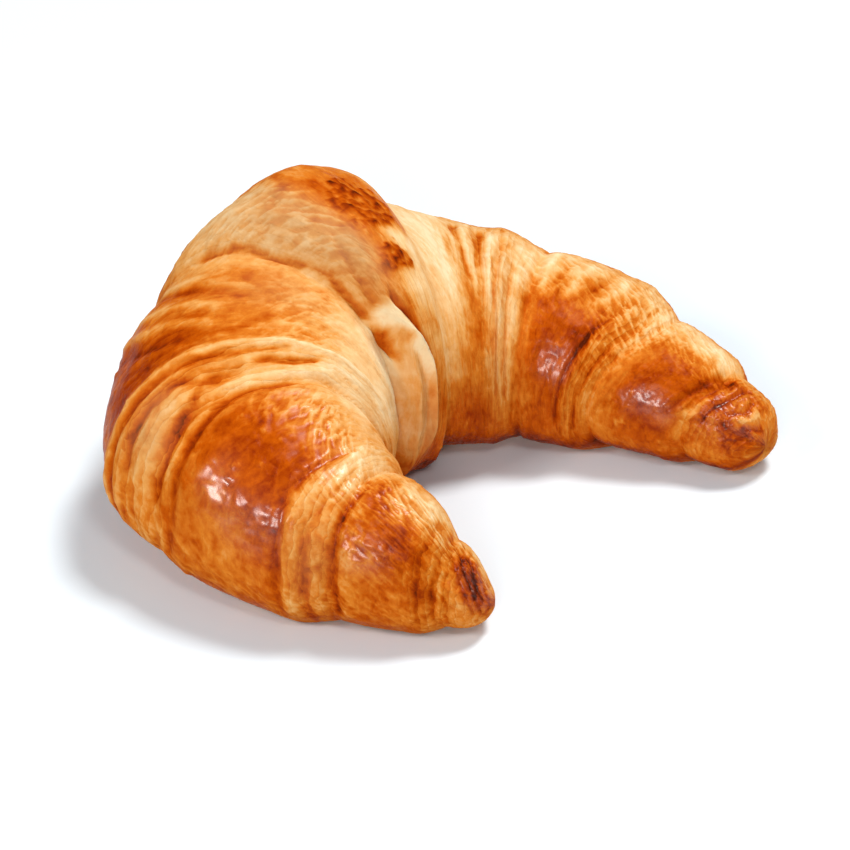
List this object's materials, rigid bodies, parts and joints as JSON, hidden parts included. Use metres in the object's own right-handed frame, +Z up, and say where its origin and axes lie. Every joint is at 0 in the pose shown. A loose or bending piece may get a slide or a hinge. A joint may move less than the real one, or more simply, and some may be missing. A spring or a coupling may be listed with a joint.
{
  "type": "croissant",
  "caption": "Curved butter croissant: a baked crescent of layered dough with glazed brown bands, pale layered edges, torn tips and a flat underside.",
  "frame": {"origin": "bottom centre of the bounding box", "axes": "+Z up from the tray the croissant rests on, +X across the two arms, and the bay between the arms opens towards -Y"},
  "size_m": [0.1504, 0.1196, 0.0704],
  "materials": {
    "crust": "egg-washed baked crust, glossy on the brown bands and dull on the pale layers"
  },
  "bodies": {
    "root": {"croissant": "crust"}
  },
  "joints": []
}
